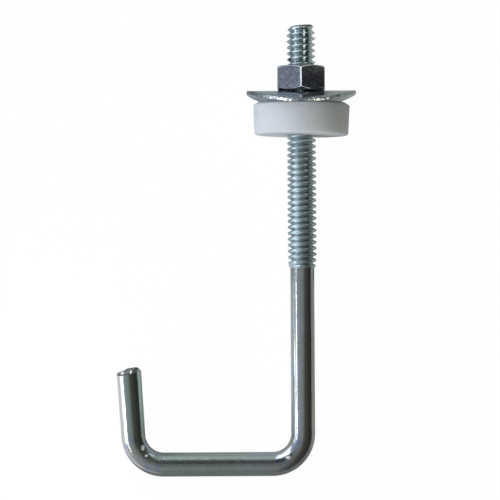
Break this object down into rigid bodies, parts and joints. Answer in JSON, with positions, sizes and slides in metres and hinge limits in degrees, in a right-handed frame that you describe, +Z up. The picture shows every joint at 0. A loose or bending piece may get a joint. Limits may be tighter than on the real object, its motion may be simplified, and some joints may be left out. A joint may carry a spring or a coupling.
{
  "type": "hook bolt",
  "caption": "Roofing hook bolt: a bent steel rod with a rolled thread, a hexagon nut, a curved metal washer and a thick plastic sealing washer, to clamp a sheet to a purlin.",
  "frame": {"origin": "on the floor, under the middle of the bolt's bounding box as it lies on its back", "axes": "+Y towards the threaded end, +X from the short leg towards the long leg, +Z up out of the hook's face; the bolt's own axis rises by about 6.6 degrees from +Y towards +Z"},
  "size_m": [0.0512, 0.0954, 0.0227],
  "materials": {
    "rod_zinc": "bright zinc plate over drawn bar",
    "nut_zinc": "bright zinc plate",
    "washer_zinc": "bright zinc plate over sheet, sheared rim",
    "seal_plastic": "moulded white plastic, satin"
  },
  "bodies": {
    "hook_bolt": {"hook_rod": "rod_zinc"},
    "washers": {"curved_washer": "washer_zinc", "sealing_washer": "seal_plastic"},
    "nut": {"hex_nut": "nut_zinc"}
  },
  "joints": [
    {"name": "washer_slide", "type": "slide", "parent": "hook_bolt", "child": "washers", "axis": [0, 0.9934, 0.115], "range_m": [-0.03633, 0.0089]},
    {"name": "nut_turn", "type": "hinge", "parent": "washers", "child": "nut", "pos_m": [0.01397, 0.03345, 0.01165], "axis": [0, 0.9934, 0.115], "range_deg": [-10299, 2524]}
  ],
  "couplings": [
    {"joint": "nut_turn", "follows": "washer_slide", "rad_per_m": 4947.4}
  ]
}
